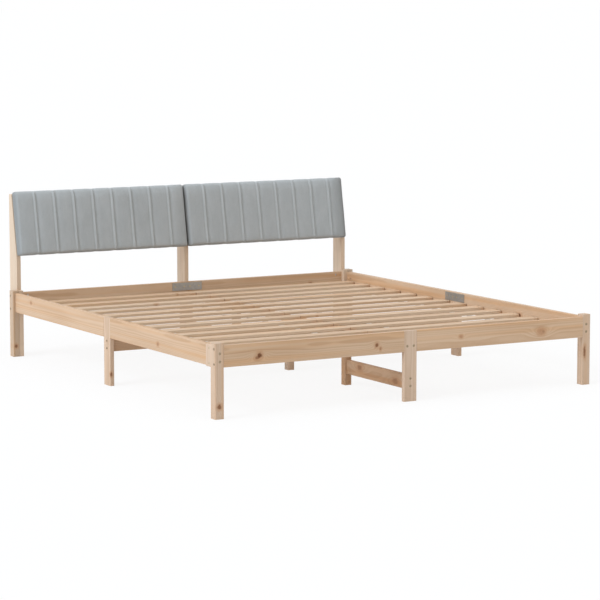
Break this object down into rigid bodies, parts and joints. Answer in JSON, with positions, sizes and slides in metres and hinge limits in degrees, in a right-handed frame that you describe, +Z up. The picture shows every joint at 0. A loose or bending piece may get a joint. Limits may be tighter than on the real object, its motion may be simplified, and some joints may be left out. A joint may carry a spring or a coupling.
{
  "type": "bed frame",
  "caption": "Low pine bed frame on board and post legs, with split rails, a slatted base and a leaning headboard that carries two channelled cushions side by side.",
  "frame": {"origin": "on the floor, in the middle of the rectangle that the whole frame covers", "axes": "+X to the right as seen from the foot, +Y from the foot to the headboard, +Z up"},
  "size_m": [1.855, 2.12, 0.7722],
  "materials": {
    "frame_pine": "planed pine, oiled, with knots and visible end grain",
    "slat_pine": "planed pine, untreated",
    "plywood": "thin birch plywood",
    "dowel_wood": "turned beech",
    "zinc_steel": "bright zinc",
    "webbing": "woven tape",
    "cushion_cover": "soft short-pile grey cover with stitched channels"
  },
  "bodies": {
    "root": {"barrel_nuts": "zinc_steel", "beam_dowels": "dowel_wood", "centre_beam_foot": "frame_pine", "centre_beam_head": "frame_pine", "cross_beam_left": "frame_pine", "cross_beam_right": "frame_pine", "cushion_board_left": "plywood", "cushion_board_right": "plywood", "foot_leg_centre": "frame_pine", "foot_leg_left": "frame_pine", "foot_leg_right": "frame_pine", "foot_rail_left": "frame_pine", "foot_rail_right": "frame_pine", "frame_bolts": "zinc_steel", "head_leg_centre": "frame_pine", "head_leg_left": "frame_pine", "head_leg_right": "frame_pine", "head_rail_left": "frame_pine", "head_rail_right": "frame_pine", "headboard_bottom_bar_left": "frame_pine", "headboard_bottom_bar_right": "frame_pine", "headboard_cushion_left": "cushion_cover", "headboard_cushion_right": "cushion_cover", "headboard_post_centre": "frame_pine", "headboard_post_left": "frame_pine", "headboard_post_right": "frame_pine", "headboard_top_bar_left": "frame_pine", "headboard_top_bar_right": "frame_pine", "joining_plates": "zinc_steel", "low_stretcher_foot": "frame_pine", "low_stretcher_head": "frame_pine", "mid_leg_centre": "frame_pine", "mid_leg_left": "frame_pine", "mid_leg_right": "frame_pine", "quarter_leg_foot": "frame_pine", "quarter_leg_head": "frame_pine", "side_rail_left_foot": "frame_pine", "side_rail_left_head": "frame_pine", "side_rail_right_foot": "frame_pine", "side_rail_right_head": "frame_pine", "slat_ledge_left_foot": "frame_pine", "slat_ledge_left_head": "frame_pine", "slat_ledge_right_foot": "frame_pine", "slat_ledge_right_head": "frame_pine", "slat_row_01": "slat_pine", "slat_row_02": "slat_pine", "slat_row_03": "slat_pine", "slat_row_04": "slat_pine", "slat_row_05": "slat_pine", "slat_row_06": "slat_pine", "slat_row_07": "slat_pine", "slat_row_08": "slat_pine", "slat_row_09": "slat_pine", "slat_row_10": "slat_pine", "slat_row_11": "slat_pine", "slat_row_12": "slat_pine", "slat_row_13": "slat_pine", "slat_row_14": "slat_pine", "slat_webbing": "webbing", "wood_screws": "zinc_steel"}
  },
  "joints": []
}
